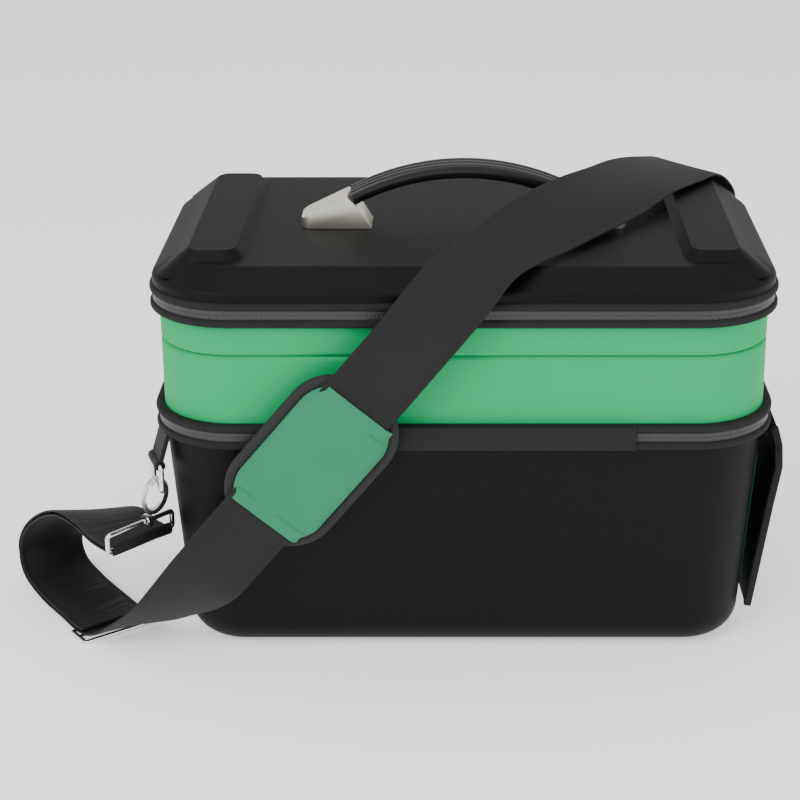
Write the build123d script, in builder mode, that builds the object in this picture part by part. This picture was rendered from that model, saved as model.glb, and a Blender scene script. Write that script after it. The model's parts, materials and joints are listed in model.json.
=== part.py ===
# Two-compartment moulded instrument case with a carrying handle and a padded shoulder strap.
# Millimetres, +Z up, origin on the floor under the middle of the case.
# +X is to the right of somebody facing the front, +Y goes to the back.
from build123d import *
import math
import os

os.makedirs("parts", exist_ok=True)

# ---------------------------------------------------------------- overall sizes
case_width = 410.0  # over the zip bands
case_depth = 256.0
corner_radius = 56.0  # plan corners of the zip bands
band_inset = 6.0  # how far the shells stand back from the zip bands
wall = 4.0  # moulded foam shell
lining_gap = 0.3
lining_wall = 1.6
fit_gap = 0.3  # between bodies that move past each other

# ---------------------------------------------------------------- levels
lower_tray_height = 153.0
band_height = 16.5
deep_shell_height = 45.7
upper_tray_height = 20.8
lid_wall_height = 6.0
lid_slope_height = 12.5
ridge_rise = 6.5

lower_band_z = lower_tray_height
deep_shell_z = lower_band_z + band_height
upper_tray_z = deep_shell_z + deep_shell_height
upper_band_z = upper_tray_z + upper_tray_height
lid_z = upper_band_z + band_height
lid_shoulder_z = lid_z + lid_wall_height
plateau_z = lid_shoulder_z + lid_slope_height

# ---------------------------------------------------------------- lower tray and shells
tray_draft = 4.3  # degrees
tray_bottom_fillet = 22.0
groove_fillet = 3.0
divider_wall = 3.0
rivet_radius = 2.0
rivet_head_radius = 4.5
rivet_head_height = 1.2
rivet_spacing_x = 240.0
rivet_spacing_y = 140.0

# ---------------------------------------------------------------- zip bands
binding_height = 5.3
binding_depth = 9.0
tape_setback = 2.0
tape_depth = 5.0
slider_length = 13.0
slider_stand = 4.6
slider_spacing = 20.0
upper_sliders_x = -24.0
lower_sliders_x = 0.0
pull_length = 26.0
pull_width = 6.0
pull_thickness = 1.8
pull_pin_radius = 0.9
slider_ear = 1.2
slider_corner = 1.2
pull_corner = 2.0

# ---------------------------------------------------------------- fabric hinges
front_patch_width = 222.0
rear_patch_width = 250.0
patch_thickness = 1.4

# ---------------------------------------------------------------- lid
shoulder_inset = 2.0
plateau_inset = 20.0
lid_edge_fillet = 4.0
ridge_inner_x = 146.0
ridge_outer_x = 177.0
ridge_front_y = 94.0
ridge_base_margin = 13.0
ridge_corner = 9.0
ridge_base_rise = 3.0  # where a ridge's foot starts, above the shoulder
ridge_base_setback = 6.0  # a ridge's foot, inside the lid's side

# ---------------------------------------------------------------- handle
handle_y = -12.0
cap_tip_x = 109.0
cap_mouth_x = 62.0
cap_height = 22.0
cap_brow_inset = 8.0  # the mouth leans back this far up to its brow
cap_brow_height = 13.6
cap_crest_inset = 16.0
cap_tip_height = 7.0
cap_tip_corner = 6.0
cap_lip = 3.0  # each side of the grip
grip_top_z = 314.5
grip_start_x = 74.0
grip_start_z = 291.0
grip_width = 22.0
grip_thickness = 10.0
grip_corner = 4.0
core_width = 12.0
core_thickness = 2.0
core_corner = 0.5
handle_screw_radius = 2.0
handle_screw_x = 92.0
handle_plate_length = 34.0
handle_plate_thickness = 1.5
handle_plate_corner = 3.0
handle_screw_spacing = 12.0
handle_screw_depth = 7.0
handle_screw_head = 3.6
handle_screw_head_height = 2.0

# ---------------------------------------------------------------- strap and its metalware
strap_width = 50.0
strap_thickness = 1.8
tab_angle = 20.0  # where the ring tabs sit round the corner, from the side
tab_width = 22.0
tab_thickness = 3.0
tab_setback = 2.5  # inside the outer face of the zip band
tab_lean = 7.0  # how far it leans out over its length
tab_eye_z = 131.0
d_ring_wire = 3.6
ring_bend = 2.3  # inner line of a ring's bends, measured to the middle of the wire
d_ring_width = 31.0
d_ring_height = 21.0
wire_gap = 0.35
hook_height = 27.0
hook_width = 17.0
hook_thickness = 4.0
hook_bar = 3.2
hook_tilt = 19.0  # degrees outward at the bottom
gate_height = 12.0
gate_width = 2.6
gate_thickness = 2.0
swivel_eye_radius = 4.8
swivel_eye_width = 4.0
swivel_eye_gap = 1.1
strap_ring_wire = 3.6
strap_ring_width = 59.0
strap_ring_height = 15.0
adjuster_width = 58.0
adjuster_length = 22.0
adjuster_wire = 3.0
adjuster_bars = 3
adjuster_station = 8  # where it sits on the front route
left_ring_direction = (0.66, 0.75, 0.0)
left_ring_shift = -6.5
right_ring_direction = (-0.766, 0.643, 0.0)
right_ring_shift = 18.0

# The strap's route: the middle of the webbing and the direction across it.
# It rises from the right-hand ring, round the back corner of the case, to the lid.
route_right = [
    ((202.9, 112.4, 84.0), (-0.766, 0.643, 0.0)),
    ((202.2, 113.6, 105.0), (-0.766, 0.643, 0.0)),
    ((194.0, 117.0, 150.0), (-0.766, 0.643, 0.0)),
    ((185.1, 121.3, 200.0), (-0.766, 0.643, 0.0)),
    ((181.5, 123.1, 243.0), (-0.78, 0.62, 0.0)),
    ((177.6, 118.5, 264.0), (-0.80, 0.59, 0.05)),
    ((163.0, 96.0, 281.5), (-0.84, 0.52, 0.10)),
]
# Over the right-hand ridge, leaning on the end of the handle, to the front of the lid.
route_lid = [
    ((163.0, 96.0, 281.5), (-0.84, 0.52, 0.10)),
    ((147.5, 72.0, 286.5), (-0.78, 0.52, 0.20)),
    ((123.5, 34.5, 291.0), (-0.78, 0.50, 0.36)),
    ((101.0, -5.5, 291.5), (-0.74, 0.41, 0.53)),
    ((76.5, -41.0, 291.5), (-0.66, 0.44, 0.61)),
    ((52.0, -73.0, 289.0), (-0.64, 0.46, 0.56)),
    ((29.0, -98.0, 283.0), (-0.68, 0.56, 0.34)),
    ((10.0, -119.0, 275.5), (-0.80, 0.48, 0.26)),
    ((-7.0, -134.0, 261.0), (-0.84, 0.20, 0.48)),
]
# Down the front, through the shoulder pad, round the front corner to the adjuster on the
# floor, then in a loop that stands on its edge, back to the left-hand ring.
route_front = [
    ((-7.0, -134.0, 261.0), (-0.84, 0.20, 0.48)),
    ((-33.0, -139.6, 230.0), (-0.765, 0.0, 0.644)),
    ((-60.0, -140.4, 197.5), (-0.765, 0.0, 0.644)),
    ((-140.0, -140.4, 102.5), (-0.765, 0.0, 0.644)),
    ((-166.0, -139.0, 71.0), (-0.77, -0.05, 0.64)),
    ((-183.5, -130.0, 50.0), (-0.79, -0.31, 0.54)),
    ((-201.5, -117.0, 31.0), (-0.76, -0.55, 0.35)),
    ((-224.5, -99.0, 12.0), (-0.80, -0.58, 0.15)),
    ((-242.0, -83.0, 4.0), (-0.80, -0.60, 0.0)),
    ((-263.0, -53.0, 2.2), (-0.80, -0.60, 0.0)),
    ((-282.0, -27.0, 3.4), (-0.79, -0.60, 0.0)),
    ((-297.5, -5.0, 9.5), (-0.78, -0.60, 0.05)),
    ((-302.0, 3.5, 25.0), (-0.76, -0.62, 0.10)),
    ((-293.0, -8.0, 44.0), (-0.85, -0.48, 0.17)),
    ((-277.0, -25.0, 60.0), (-0.92, -0.35, 0.17)),
    ((-260.0, -44.0, 72.0), (-0.93, -0.35, 0.10)),
    ((-243.5, -65.0, 77.0), (-0.90, -0.43, 0.0)),
    ((-232.0, -83.0, 76.8), (-0.74, -0.67, 0.0)),
]

# ---------------------------------------------------------------- shoulder pad
pad_length = 127.0
pad_width = 78.0
pad_corner = 34.0
pad_thickness = 9.0
pad_binding_width = 7.0
pad_binding_thickness = 6.0
sleeve_length = 100.0
sleeve_thickness = 1.0
pad_centre_x = -100.0
pad_centre_z = 150.0
pad_fall = (-0.644, 0.0, -0.765)  # down the strap
pad_station = 2  # where the front route enters it

# ---------------------------------------------------------------- side flap
flap_front_y = -84.0
flap_width = 118.0
flap_thickness = 3.5
flap_binding = 5.0
flap_bends = (20.0, 20.0, 30.0)
flap_profile = [(207.0, 150.5), (210.5, 138.0), (211.5, 122.0), (207.0, 95.0), (195.5, 18.0)]
pocket_thickness = 1.2
pocket_top_z = 128.0
pocket_bottom_z = 34.0
pocket_margin = 14.0

# ================================================================ helpers


def save(builder, label):
    """Label a finished piece and write it as one STEP file."""
    builder.part.label = label
    export_step(builder.part, f"parts/{label}.step")


def plan(inset):
    """Rounded plan outline of the case, the given distance inside the zip bands."""
    RectangleRounded(case_width - 2 * inset, case_depth - 2 * inset, corner_radius - inset)


def slab(inset, bottom, height):
    """Solid block with the plan outline."""
    with BuildPart() as block:
        with BuildSketch(Plane.XY.offset(bottom)):
            plan(inset)
        extrude(amount=height)
    return block.part


def ring(outer_inset, inner_inset, bottom, height):
    """Flat ring that follows the plan outline."""
    with BuildPart() as hoop:
        with BuildSketch(Plane.XY.offset(bottom)):
            plan(outer_inset)
            RectangleRounded(
                case_width - 2 * inner_inset,
                case_depth - 2 * inner_inset,
                corner_radius - inner_inset,
                mode=Mode.SUBTRACT,
            )
        extrude(amount=height)
    return hoop.part


def tray_block(inset, top, depth, fillet_radius):
    """Tapered block of the lower tray, with a rounded bottom edge."""
    with BuildPart() as block:
        with BuildSketch(Plane.XY.offset(top)):
            plan(inset)
        extrude(amount=-depth, taper=tray_draft)
        fillet(block.faces().sort_by(Axis.Z)[0].edges(), fillet_radius)
    return block.part


def wire_loop(plane, width, height, corner, wire):
    """Closed rounded loop of round wire, centred on a plane."""
    with BuildSketch(plane) as outline:
        RectangleRounded(width - wire, height - wire, corner)
    path = outline.sketch.face().outer_wire()
    with BuildPart() as loop:
        with BuildSketch(Plane(origin=path @ 0, z_dir=path % 0)):
            Circle(wire / 2)
        sweep(path=path)
    return loop.part


def webbing(route, first, last):
    """Flat strap from one station of the route to another, as straight ruled stretches."""
    middles = [Vector(*middle) for middle, _ in route]
    with BuildPart() as strap:
        for index in range(first, last + 1):
            before = middles[max(index - 1, 0)]
            after = middles[min(index + 1, len(middles) - 1)]
            heading = (after - before).normalized()
            across = route[index][1]
            with BuildSketch(Plane(origin=middles[index], x_dir=across, z_dir=heading)):
                Rectangle(strap_width, strap_thickness)
        loft(ruled=True)
    return strap.part


def copy_of(shape):
    """Builder that holds one ready-made shape."""
    with BuildPart() as holder:
        add(shape)
    return holder


# ================================================================ lower tray (the base)

with BuildPart() as lower_shell:
    add(tray_block(band_inset, lower_tray_height, lower_tray_height, tray_bottom_fillet))
    add(
        tray_block(
            band_inset + wall,
            lower_tray_height,
            lower_tray_height - wall,
            tray_bottom_fillet - wall,
        ),
        mode=Mode.SUBTRACT,
    )
save(lower_shell, "lower_shell")

lining_inset = band_inset + wall + lining_gap
with BuildPart() as lower_lining:
    add(
        tray_block(
            lining_inset,
            lower_tray_height,
            lower_tray_height - wall - lining_gap,
            tray_bottom_fillet - wall - lining_gap,
        )
    )
    add(
        tray_block(
            lining_inset + lining_wall,
            lower_tray_height,
            lower_tray_height - wall - lining_gap - lining_wall,
            tray_bottom_fillet - wall - lining_gap - lining_wall,
        ),
        mode=Mode.SUBTRACT,
    )
save(lower_lining, "lower_lining")

# ================================================================ zip bands

half_band = band_height / 2
tape_height = half_band - binding_height - fit_gap / 2


def zip_band(name, bottom):
    """Both halves of one zip: binding and tape below the split, tape and binding above it."""
    tape_inner = tape_setback + tape_depth
    top = bottom + band_height
    save(copy_of(ring(0, binding_depth, bottom, binding_height)), f"{name}_binding_bottom")
    save(
        copy_of(ring(tape_setback, tape_inner, bottom + binding_height, tape_height)),
        f"{name}_zip_tape_bottom",
    )
    save(
        copy_of(ring(tape_setback, tape_inner, top - binding_height - tape_height, tape_height)),
        f"{name}_zip_tape_top",
    )
    save(copy_of(ring(0, binding_depth, top - binding_height, binding_height)), f"{name}_binding_top")


zip_band("lower", lower_band_z)
zip_band("upper", upper_band_z)


def hinge_patch(name, bottom, width, side):
    """Strip of fabric sewn over a zip band, in two leaves that meet at the hinge line."""
    leaf = half_band - fit_gap / 2
    centre_y = side * (case_depth / 2 + patch_thickness / 2)
    for label, z in (("lower", bottom), ("upper", bottom + band_height - leaf)):
        with BuildPart() as patch:
            with BuildSketch(Plane.XY.offset(z)):
                with Locations((0, centre_y)):
                    Rectangle(width, patch_thickness)
            extrude(amount=leaf)
        save(patch, f"{name}_hinge_leaf_{label}")


hinge_patch("front", lower_band_z, front_patch_width, -1)
hinge_patch("rear", upper_band_z, rear_patch_width, 1)

# ================================================================ middle section

divider_z = upper_tray_z
rivet_reach = divider_wall + lining_gap + lining_wall


def pins(spacing_x, spacing_y, centre_y, bottom, top, radius):
    """Four upright pins in a rectangle, for rivets, screws and their holes."""
    with BuildPart() as group:
        with BuildSketch(Plane.XY.offset(bottom)):
            with Locations((0, centre_y)):
                with GridLocations(spacing_x, spacing_y, 2, 2):
                    Circle(radius)
        extrude(amount=top - bottom)
    return group.part


def rivet_pins(bottom, top, radius):
    return pins(rivet_spacing_x, rivet_spacing_y, 0, bottom, top, radius)


def screw_pins(bottom, top, radius):
    return pins(2 * handle_screw_x, handle_screw_spacing, handle_y, bottom, top, radius)


rivet_holes = rivet_pins(divider_z - rivet_reach, divider_z + rivet_reach, rivet_radius + fit_gap)

with BuildPart() as deep_shell:
    add(slab(band_inset, deep_shell_z, deep_shell_height))
    fillet(deep_shell.faces().sort_by(Axis.Z)[-1].edges(), groove_fillet)
    add(
        slab(band_inset + wall, deep_shell_z, deep_shell_height - divider_wall),
        mode=Mode.SUBTRACT,
    )
    add(rivet_holes, mode=Mode.SUBTRACT)
save(deep_shell, "deep_shell")

with BuildPart() as upper_tray_shell:
    add(slab(band_inset, upper_tray_z, upper_tray_height))
    fillet(upper_tray_shell.faces().sort_by(Axis.Z)[0].edges(), groove_fillet)
    add(
        slab(band_inset + wall, upper_tray_z + divider_wall, upper_tray_height),
        mode=Mode.SUBTRACT,
    )
    add(rivet_holes, mode=Mode.SUBTRACT)
save(upper_tray_shell, "upper_tray_shell")

deep_lining_height = deep_shell_height - divider_wall - lining_gap
with BuildPart() as deep_lining:
    add(slab(lining_inset, deep_shell_z, deep_lining_height))
    add(
        slab(lining_inset + lining_wall, deep_shell_z, deep_lining_height - lining_wall),
        mode=Mode.SUBTRACT,
    )
    add(rivet_holes, mode=Mode.SUBTRACT)
save(deep_lining, "deep_lining")

tray_lining_z = upper_tray_z + divider_wall + lining_gap
with BuildPart() as upper_tray_lining:
    add(slab(lining_inset, tray_lining_z, upper_band_z - tray_lining_z))
    add(
        slab(lining_inset + lining_wall, tray_lining_z + lining_wall, upper_tray_height),
        mode=Mode.SUBTRACT,
    )
    add(rivet_holes, mode=Mode.SUBTRACT)
save(upper_tray_lining, "upper_tray_lining")

with BuildPart() as divider_rivets:
    lower_head_z = divider_z - rivet_reach - rivet_head_height
    upper_head_z = divider_z + rivet_reach
    add(rivet_pins(lower_head_z, upper_head_z + rivet_head_height, rivet_radius))
    add(rivet_pins(lower_head_z, lower_head_z + rivet_head_height, rivet_head_radius))
    add(rivet_pins(upper_head_z, upper_head_z + rivet_head_height, rivet_head_radius))
save(divider_rivets, "divider_rivets")

# ================================================================ lid

screw_holes = screw_pins(lid_z, plateau_z, handle_screw_radius + fit_gap)

with BuildPart() as lid_shell:
    with BuildSketch(Plane.XY.offset(lid_z)):
        plan(shoulder_inset)
    extrude(amount=lid_wall_height)
    with BuildSketch(Plane.XY.offset(lid_shoulder_z)):
        plan(shoulder_inset)
    with BuildSketch(Plane.XY.offset(plateau_z)):
        plan(plateau_inset)
    loft()
    fillet(lid_shell.edges().group_by(Axis.Z)[-1], lid_edge_fillet)
    fillet(
        lid_shell.edges().filter_by_position(
            Axis.Z, lid_shoulder_z - fit_gap, lid_shoulder_z + fit_gap
        ),
        lid_edge_fillet,
    )
    for side in (-1, 1):
        ridge_base_z = lid_shoulder_z + ridge_base_rise
        top_x = side * (ridge_inner_x + ridge_outer_x) / 2
        outer_base_x = case_width / 2 - shoulder_inset - ridge_base_setback
        inner_base_x = ridge_inner_x - ridge_base_margin
        base_x = side * (outer_base_x + inner_base_x) / 2
        with BuildSketch(Plane.XY.offset(ridge_base_z)):
            with Locations((base_x, 0)):
                RectangleRounded(
                    outer_base_x - inner_base_x,
                    2 * (ridge_front_y + ridge_base_margin),
                    2 * ridge_corner,
                )
        with BuildSketch(Plane.XY.offset(plateau_z + ridge_rise)):
            with Locations((top_x, 0)):
                RectangleRounded(
                    ridge_outer_x - ridge_inner_x, 2 * ridge_front_y, ridge_corner
                )
        loft()
    with BuildSketch(Plane.XY.offset(lid_z)):
        plan(shoulder_inset + wall)
    with BuildSketch(Plane.XY.offset(plateau_z - wall)):
        plan(plateau_inset + wall)
    loft(mode=Mode.SUBTRACT)
    add(screw_holes, mode=Mode.SUBTRACT)
save(lid_shell, "lid_shell")

with BuildPart() as lid_lining:
    for inset, mode in ((0, Mode.ADD), (lining_wall, Mode.SUBTRACT)):
        with BuildSketch(Plane.XY.offset(lid_z)):
            plan(shoulder_inset + wall + lining_gap + inset)
        with BuildSketch(Plane.XY.offset(plateau_z - wall - lining_gap - inset)):
            plan(plateau_inset + wall + lining_gap + inset)
        loft(mode=mode)
    add(screw_holes, mode=Mode.SUBTRACT)
save(lid_lining, "lid_lining")

# ================================================================ handle

grip_rise = grip_top_z - grip_thickness / 2 - grip_start_z
cap_width = grip_width + 2 * cap_lip


def handle_bar(width, thickness, corner):
    """Bowed bar between the two handle caps."""
    with BuildPart() as bar:
        with BuildLine(Plane.XZ.offset(-handle_y)) as bow:
            ThreePointArc(
                (-grip_start_x, grip_start_z),
                (0, grip_start_z + grip_rise),
                (grip_start_x, grip_start_z),
            )
        with BuildSketch(Plane(origin=bow.line @ 0, x_dir=(0, 1, 0), z_dir=bow.line % 0)):
            RectangleRounded(width, thickness, corner)
        sweep(path=bow.line)
    return bar.part


with BuildPart() as handle_grip:
    add(handle_bar(grip_width, grip_thickness, grip_corner))
    add(
        handle_bar(
            core_width + 2 * fit_gap, core_thickness + 2 * fit_gap, core_corner + fit_gap
        ),
        mode=Mode.SUBTRACT,
    )
save(handle_grip, "handle_grip")
save(copy_of(handle_bar(core_width, core_thickness, core_corner)), "handle_core")

cap_screw_holes = screw_pins(plateau_z, plateau_z + handle_screw_depth, handle_screw_radius)

for side, label in ((-1, "left"), (1, "right")):
    with BuildPart() as handle_cap:
        with BuildSketch(Plane.XZ.offset(-handle_y - cap_width / 2)):
            with BuildLine():
                Polyline(
                    (side * cap_tip_x, plateau_z + fit_gap),
                    (side * cap_mouth_x, plateau_z + fit_gap),
                    (side * (cap_mouth_x + cap_brow_inset), plateau_z + cap_brow_height),
                    (side * (cap_mouth_x + cap_crest_inset), plateau_z + cap_height),
                    (side * cap_tip_x, plateau_z + cap_tip_height),
                    close=True,
                )
            make_face()
        extrude(amount=cap_width)
        tip_group = 0 if side < 0 else -1
        fillet(handle_cap.edges().filter_by(Axis.Z).group_by(Axis.X)[tip_group], cap_tip_corner)
        add(
            handle_bar(grip_width + 2 * fit_gap, grip_thickness + 2 * fit_gap, grip_corner + fit_gap),
            mode=Mode.SUBTRACT,
        )
        add(cap_screw_holes, mode=Mode.SUBTRACT)
    save(handle_cap, f"handle_cap_{label}")

plate_top_z = plateau_z - wall - lining_gap - lining_wall - fit_gap
plate_bottom_z = plate_top_z - handle_plate_thickness
with BuildPart() as handle_plates:
    with BuildSketch(Plane.XY.offset(plate_bottom_z)):
        with Locations((-handle_screw_x, handle_y), (handle_screw_x, handle_y)):
            RectangleRounded(handle_plate_length, cap_width, handle_plate_corner)
    extrude(amount=handle_plate_thickness)
    add(screw_pins(plate_bottom_z, plate_top_z, handle_screw_radius + fit_gap), mode=Mode.SUBTRACT)
save(handle_plates, "handle_plates")

with BuildPart() as handle_screws:
    head_z = plate_bottom_z - handle_screw_head_height
    add(screw_pins(head_z, plateau_z + handle_screw_depth, handle_screw_radius))
    add(screw_pins(head_z, plate_bottom_z, handle_screw_head))
save(handle_screws, "handle_screws")

# ================================================================ zip sliders and pulls

slider_height = band_height - 2 * binding_height - 2 * fit_gap
pull_eye_radius = pull_thickness


def zip_slider(name, x, band_z, side):
    """Slider on the straight of a zip, with a pull tab that hangs from a pin across it."""
    mid_z = band_z + half_band
    face = case_depth / 2 - tape_setback + fit_gap
    front = face + slider_stand
    eye = front + fit_gap + pull_eye_radius
    ear_x = pull_width / 2 + fit_gap + slider_ear / 2
    with BuildPart() as slider:
        with BuildSketch(Plane.XY.offset(mid_z - slider_height / 2)):
            with Locations((x, side * (face + front) / 2)):
                RectangleRounded(slider_length, slider_stand, slider_corner)
        extrude(amount=slider_height)
        for ear_side in (-1, 1):
            ear_centre = x + ear_side * ear_x
            with BuildSketch(Plane.YZ.offset(ear_centre - slider_ear / 2)):
                with Locations((side * (front + eye) / 2, mid_z)):
                    Rectangle(eye - front + pull_eye_radius, 2 * pull_eye_radius)
            extrude(amount=slider_ear)
        with BuildSketch(Plane.YZ.offset(x - ear_x)):
            with Locations((side * eye, mid_z)):
                Circle(pull_pin_radius)
        extrude(amount=2 * ear_x)
    save(slider, f"{name}_slider")
    with BuildPart() as pull:
        with BuildSketch(Plane.YZ.offset(x - pull_width / 2)):
            with Locations((side * eye, mid_z)):
                Circle(pull_eye_radius)
                Circle(pull_pin_radius + fit_gap / 2, mode=Mode.SUBTRACT)
        extrude(amount=pull_width)
        with BuildSketch(Plane.XZ.offset(-side * eye - pull_thickness / 2)):
            with Locations((x, mid_z - pull_eye_radius - pull_length / 2 + fit_gap)):
                RectangleRounded(pull_width, pull_length, pull_corner)
        extrude(amount=pull_thickness)
    save(pull, f"{name}_pull")


for side_name, direction in (("left", -1), ("right", 1)):
    offset_x = direction * slider_spacing / 2
    zip_slider(f"upper_{side_name}", upper_sliders_x + offset_x, upper_band_z, -1)
    zip_slider(f"lower_{side_name}", lower_sliders_x + offset_x, lower_band_z, 1)

# ================================================================ strap tabs, rings and hooks

corner_x = case_width / 2 - corner_radius
corner_y = case_depth / 2 - corner_radius
out_x = -math.cos(math.radians(tab_angle))
out_y = -math.sin(math.radians(tab_angle))
tab_radius = corner_radius - tab_setback - tab_thickness / 2
ring_radius = tab_radius + tab_lean


def around_corner(radius, height):
    """Point at a radius from the centre of the left front corner, at the tabs' angle."""
    return (-corner_x + radius * out_x, -corner_y + radius * out_y, height)


along = Vector(-out_y, out_x, 0.0)
eye_gap_radius = d_ring_wire / 2 + wire_gap
d_ring_drop = d_ring_height - d_ring_wire
d_ring_low_z = tab_eye_z - d_ring_drop

# The tab's profile is drawn in the upright plane that points out of the corner.
tab_plane = Plane(
    origin=Vector(*around_corner(0, 0)) + along * (tab_width / 2),
    x_dir=(out_x, out_y, 0),
    z_dir=along * -1,
)
half_tab = tab_thickness / 2
with BuildPart() as ring_tab:
    with BuildSketch(tab_plane):
        with BuildLine():
            Polyline(
                (tab_radius - half_tab, lower_band_z),
                (tab_radius + half_tab, lower_band_z),
                (ring_radius + half_tab, tab_eye_z),
                (ring_radius - half_tab, tab_eye_z),
                close=True,
            )
        make_face()
        with Locations((ring_radius, tab_eye_z)):
            Circle(eye_gap_radius + half_tab)
            Circle(eye_gap_radius, mode=Mode.SUBTRACT)
    extrude(amount=tab_width)

ring_plane = Plane(
    origin=around_corner(ring_radius, tab_eye_z - d_ring_drop / 2), x_dir=along, z_dir=(out_x, out_y, 0)
)
d_ring = wire_loop(ring_plane, d_ring_width, d_ring_height, ring_bend, d_ring_wire)

# The hook hangs on the ring's lower bar, in the plane that points out of the corner.
tilt = math.radians(hook_tilt)
hook_down = Vector(out_x * math.sin(tilt), out_y * math.sin(tilt), -math.cos(tilt))
hook_out = Vector(out_x * math.cos(tilt), out_y * math.cos(tilt), math.sin(tilt))
hook_top = Vector(*around_corner(ring_radius, d_ring_low_z))
hook_middle = hook_top + hook_down * (hook_height / 2 - hook_bar - eye_gap_radius)
hook_plane = Plane(origin=hook_middle, x_dir=hook_out, z_dir=hook_out.cross(hook_down * -1))
swivel_top = -hook_height / 2
swivel_eye_y = swivel_top - swivel_eye_radius - wire_gap

with BuildPart() as snap_hook:
    with BuildSketch(hook_plane.offset(-hook_thickness / 2)):
        Ellipse(hook_width / 2, hook_height / 2)
        Ellipse(hook_width / 2 - hook_bar, hook_height / 2 - hook_bar, mode=Mode.SUBTRACT)
        with Locations((hook_width / 2, 0)):
            Rectangle(hook_width, gate_height + 2 * wire_gap, mode=Mode.SUBTRACT)
    extrude(amount=hook_thickness)
with BuildPart() as hook_gate:
    with BuildSketch(hook_plane.offset(-gate_thickness / 2)):
        with Locations((hook_width / 2 - hook_bar / 2, 0)):
            SlotOverall(gate_height, gate_width, rotation=90)
    extrude(amount=gate_thickness)
eye_point = hook_middle + hook_plane.y_dir * swivel_eye_y


def swivel_eye(direction, turn):
    """Eye at the foot of the hook, turned so that the strap ring's bar runs through it."""
    bar = Vector(*direction)
    middle = eye_point.rotate(Axis.Z, turn)
    with BuildPart() as eye:
        with BuildSketch(Plane(origin=middle - bar * (swivel_eye_width / 2), z_dir=bar)):
            Circle(swivel_eye_radius)
            Circle(strap_ring_wire / 2 + swivel_eye_gap, mode=Mode.SUBTRACT)
        extrude(amount=swivel_eye_width)
    return eye.part


def strap_bar(direction, shift, centre):
    """Middle of a strap ring's lower bar, which the webbing goes round."""
    return centre + Vector(*direction) * shift - Vector(0, 0, strap_ring_height - strap_ring_wire)


def strap_ring(direction, shift, centre):
    """Strap ring whose upper bar passes through the swivel eye."""
    across = Vector(*direction)
    middle = strap_bar(direction, shift, centre) + Vector(0, 0, (strap_ring_height - strap_ring_wire) / 2)
    plane = Plane(origin=middle, x_dir=across, z_dir=across.cross(Vector(0, 0, 1)))
    return wire_loop(plane, strap_ring_width, strap_ring_height, ring_bend, strap_ring_wire)


for side_name, turn in (("left", 0), ("right", 180)):
    for piece, label in (
        (ring_tab.part, "ring_tab"),
        (d_ring, "d_ring"),
        (snap_hook.part, "snap_hook"),
        (hook_gate.part, "hook_gate"),
    ):
        save(copy_of(piece.rotate(Axis.Z, turn)), f"{label}_{side_name}")
opposite_eye = Vector(-eye_point.X, -eye_point.Y, eye_point.Z)
save(copy_of(swivel_eye(left_ring_direction, 0)), "swivel_eye_left")
save(copy_of(swivel_eye(right_ring_direction, 180)), "swivel_eye_right")
save(copy_of(strap_ring(left_ring_direction, left_ring_shift, eye_point)), "strap_ring_left")
save(copy_of(strap_ring(right_ring_direction, right_ring_shift, opposite_eye)), "strap_ring_right")

# ================================================================ strap, adjuster and pad

right_bar = strap_bar(right_ring_direction, right_ring_shift, opposite_eye)
left_bar = strap_bar(left_ring_direction, left_ring_shift, eye_point)
left_bar_across = tuple(-value for value in left_ring_direction)
strap_route = (
    [(tuple(right_bar), right_ring_direction)]
    + route_right
    + route_lid[1:]
    + route_front[1:]
    + [(tuple(left_bar), left_bar_across)]
)
lid_first = len(route_right)
lid_last = lid_first + len(route_lid) - 1
strap_end = len(strap_route) - 1


def webbing_fold(bar_middle, direction):
    """Webbing folded round a strap ring's lower bar, and the room that it leaves for the bar."""
    axis = Plane(origin=bar_middle, z_dir=direction)
    room = strap_ring_wire / 2 + wire_gap
    with BuildPart() as fold:
        with BuildSketch(axis.offset(-strap_width / 2)):
            Circle(room + strap_thickness)
            Circle(room, mode=Mode.SUBTRACT)
        extrude(amount=strap_width)
    with BuildPart() as bore:
        with BuildSketch(axis.offset(-strap_width)):
            Circle(room)
        extrude(amount=2 * strap_width)
    return fold.part, bore.part


for label, first, last, bar, direction in (
    ("right", 0, lid_first, right_bar, right_ring_direction),
    ("front", lid_last, strap_end, left_bar, left_ring_direction),
):
    fold, bore = webbing_fold(bar, direction)
    with BuildPart() as strap_run:
        add(webbing(strap_route, first, last))
        add(fold)
        add(bore, mode=Mode.SUBTRACT)
    save(strap_run, f"strap_webbing_{label}")
save(copy_of(webbing(strap_route, lid_first, lid_last)), "strap_webbing_lid")
strap_length = sum(
    (Vector(*b[0]) - Vector(*a[0])).length for a, b in zip(strap_route, strap_route[1:])
)
print(f"strap length along its route {strap_length:.0f}")

adjuster_at, adjuster_across = route_front[adjuster_station]
with BuildPart() as strap_adjuster:
    with BuildSketch(
        Plane(
            origin=(adjuster_at[0], adjuster_at[1], fit_gap),
            x_dir=adjuster_across,
            z_dir=(0, 0, 1),
        )
    ):
        RectangleRounded(adjuster_width, adjuster_length, adjuster_wire)
        slot = (adjuster_length - adjuster_bars * adjuster_wire) / 2
        with Locations((0, (slot + adjuster_wire) / 2), (0, -(slot + adjuster_wire) / 2)):
            Rectangle(adjuster_width - 2 * adjuster_wire, slot, mode=Mode.SUBTRACT)
    extrude(amount=adjuster_wire)
save(strap_adjuster, "strap_adjuster")

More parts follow.
